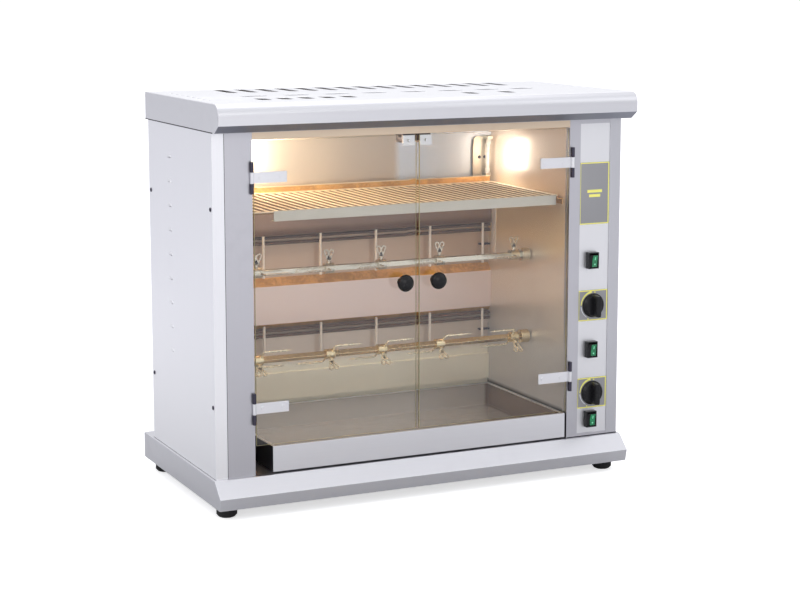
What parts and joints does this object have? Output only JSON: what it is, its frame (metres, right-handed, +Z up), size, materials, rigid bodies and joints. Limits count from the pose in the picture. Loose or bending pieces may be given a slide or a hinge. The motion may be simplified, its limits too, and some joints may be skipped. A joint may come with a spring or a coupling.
{
  "type": "rotisserie oven",
  "caption": "Countertop electric rotisserie oven with driven spits, sliding forks, wire warming shelf, drip tray and hinged glass doors in a stainless cabinet.",
  "frame": {"origin": "on the ground under the middle of the outer box", "axes": "+X to the object's right seen from the front, +Y to its back, +Z up"},
  "size_m": [0.85, 0.456, 0.75],
  "materials": {
    "panel_steel": "finely brushed stainless sheet",
    "stile_steel": "brushed stainless sheet, vertical grain",
    "control_panel_steel": "satin stainless sheet",
    "plate_grey": "grey printed plate with a yellow border",
    "liner_steel": "polished stainless, warm from the lamps",
    "element_sheath": "heat-tinted sheath",
    "spit_steel": "bright stainless bar and wire",
    "lip_steel": "satin stainless",
    "tray_steel": "stainless sheet",
    "lamp_glass": "lamp tube",
    "door_glass": "toughened clear glass",
    "black_plastic": "black thermoset",
    "dark_steel": "dark steel",
    "bronze": "sintered bronze",
    "motor_housing": "cast and pressed housing",
    "white_plastic": "ceramic-white moulding",
    "rubber": "black rubber",
    "green_lens": "lit green lens"
  },
  "bodies": {
    "cabinet": {"base_plinth": "panel_steel", "bottom_plate": "stile_steel", "side_panel_left": "panel_steel", "side_panel_right": "panel_steel", "rear_panel": "panel_steel", "stile_left": "stile_steel", "stile_right": "stile_steel", "header_rail": "panel_steel", "top_cap": "panel_steel", "control_panel": "control_panel_steel", "panel_plates": "plate_grey", "cavity_wall_left": "liner_steel", "cavity_wall_right": "liner_steel", "cavity_ceiling": "liner_steel", "cavity_back": "liner_steel", "back_header": "liner_steel", "mid_deflector": "liner_steel", "heating_elements": "element_sheath", "element_guards": "spit_steel", "lamps": "lamp_glass", "lamp_holders": "lip_steel", "magnet_catches": "black_plastic", "hinge_posts": "dark_steel", "cavity_rails": "spit_steel", "spit_bushes": "bronze", "gearmotors": "motor_housing", "switch_bodies": "black_plastic", "power_regulators": "black_plastic", "terminal_block": "white_plastic", "cable_gland": "black_plastic", "cabinet_screws": "dark_steel", "feet": "rubber"},
    "tray": {"drip_tray": "tray_steel"},
    "shelf": {"shelf_grid": "spit_steel", "shelf_lip": "lip_steel"},
    "door_left": {"door_glass_left": "door_glass", "door_fittings_left": "lip_steel", "door_knob_left": "black_plastic"},
    "door_right": {"door_glass_right": "door_glass", "door_fittings_right": "lip_steel", "door_knob_right": "black_plastic"},
    "upper_drive": {"upper_coupling": "spit_steel"},
    "upper_spit": {"upper_spit": "spit_steel"},
    "upper_fork_1": {"upper_fork_1": "spit_steel"},
    "upper_fork_2": {"upper_fork_2": "spit_steel"},
    "upper_fork_3": {"upper_fork_3": "spit_steel"},
    "upper_fork_4": {"upper_fork_4": "spit_steel"},
    "upper_fork_5": {"upper_fork_5": "spit_steel"},
    "lower_drive": {"lower_coupling": "spit_steel"},
    "lower_spit": {"lower_spit": "spit_steel"},
    "lower_fork_1": {"lower_fork_1": "spit_steel"},
    "lower_fork_2": {"lower_fork_2": "spit_steel"},
    "lower_fork_3": {"lower_fork_3": "spit_steel"},
    "lower_fork_4": {"lower_fork_4": "spit_steel"},
    "lower_fork_5": {"lower_fork_5": "spit_steel"},
    "rocker_top": {"rocker_top": "green_lens"},
    "rocker_middle": {"rocker_middle": "green_lens"},
    "rocker_bottom": {"rocker_bottom": "green_lens"},
    "dial_upper": {"dial_knob_upper": "black_plastic"},
    "dial_lower": {"dial_knob_lower": "black_plastic"}
  },
  "joints": [
    {"name": "door_left_hinge", "type": "hinge", "parent": "cabinet", "child": "door_left", "pos_m": [-0.3465, -0.182, 0.4], "axis": [0, 0, -1], "range_deg": [0, 115]},
    {"name": "door_right_hinge", "type": "hinge", "parent": "cabinet", "child": "door_right", "pos_m": [0.3105, -0.182, 0.4], "axis": [0, 0, 1], "range_deg": [0, 115]},
    {"name": "tray_slide", "type": "slide", "parent": "cabinet", "child": "tray", "axis": [0, -1, 0], "range_m": [0, 0.3]},
    {"name": "shelf_lift", "type": "slide", "parent": "cabinet", "child": "shelf", "axis": [0, 0, 1], "range_m": [0, 0.035]},
    {"name": "upper_drive_turn", "type": "hinge", "parent": "cabinet", "child": "upper_drive", "pos_m": [0.295, -0.02, 0.417], "axis": [1, 0, 0], "continuous": true},
    {"name": "upper_spit_slide", "type": "slide", "parent": "upper_drive", "child": "upper_spit", "axis": [-1, 0, 0], "range_m": [0, 0.022]},
    {"name": "upper_fork_1_slide", "type": "slide", "parent": "upper_spit", "child": "upper_fork_1", "axis": [1, 0, 0], "range_m": [-0.015, 0.01]},
    {"name": "upper_fork_2_slide", "type": "slide", "parent": "upper_spit", "child": "upper_fork_2", "axis": [1, 0, 0], "range_m": [-0.012, 0.02]},
    {"name": "upper_fork_3_slide", "type": "slide", "parent": "upper_spit", "child": "upper_fork_3", "axis": [1, 0, 0], "range_m": [-0.015, 0.025]},
    {"name": "upper_fork_4_slide", "type": "slide", "parent": "upper_spit", "child": "upper_fork_4", "axis": [1, 0, 0], "range_m": [-0.025, 0.02]},
    {"name": "upper_fork_5_slide", "type": "slide", "parent": "upper_spit", "child": "upper_fork_5", "axis": [1, 0, 0], "range_m": [-0.02, 0.004]},
    {"name": "lower_drive_turn", "type": "hinge", "parent": "cabinet", "child": "lower_drive", "pos_m": [0.295, -0.02, 0.25], "axis": [1, 0, 0], "continuous": true},
    {"name": "lower_spit_slide", "type": "slide", "parent": "lower_drive", "child": "lower_spit", "axis": [-1, 0, 0], "range_m": [0, 0.022]},
    {"name": "lower_fork_1_slide", "type": "slide", "parent": "lower_spit", "child": "lower_fork_1", "axis": [1, 0, 0], "range_m": [-0.015, 0.01]},
    {"name": "lower_fork_2_slide", "type": "slide", "parent": "lower_spit", "child": "lower_fork_2", "axis": [1, 0, 0], "range_m": [-0.012, 0.02]},
    {"name": "lower_fork_3_slide", "type": "slide", "parent": "lower_spit", "child": "lower_fork_3", "axis": [1, 0, 0], "range_m": [-0.015, 0.025]},
    {"name": "lower_fork_4_slide", "type": "slide", "parent": "lower_spit", "child": "lower_fork_4", "axis": [1, 0, 0], "range_m": [-0.025, 0.02]},
    {"name": "lower_fork_5_slide", "type": "slide", "parent": "lower_spit", "child": "lower_fork_5", "axis": [1, 0, 0], "range_m": [-0.02, 0.004]},
    {"name": "rocker_top_press", "type": "hinge", "parent": "cabinet", "child": "rocker_top", "pos_m": [0.3575, -0.18, 0.422], "axis": [-1, 0, 0], "range_deg": [0, 18]},
    {"name": "rocker_middle_press", "type": "hinge", "parent": "cabinet", "child": "rocker_middle", "pos_m": [0.3575, -0.18, 0.246], "axis": [-1, 0, 0], "range_deg": [0, 18]},
    {"name": "rocker_bottom_press", "type": "hinge", "parent": "cabinet", "child": "rocker_bottom", "pos_m": [0.3575, -0.18, 0.107], "axis": [-1, 0, 0], "range_deg": [0, 18]},
    {"name": "dial_upper_turn", "type": "hinge", "parent": "cabinet", "child": "dial_upper", "pos_m": [0.3625, -0.18, 0.3325], "axis": [0, 1, 0], "range_deg": [0, 270]},
    {"name": "dial_lower_turn", "type": "hinge", "parent": "cabinet", "child": "dial_lower", "pos_m": [0.3625, -0.18, 0.1585], "axis": [0, 1, 0], "range_deg": [0, 270]}
  ]
}
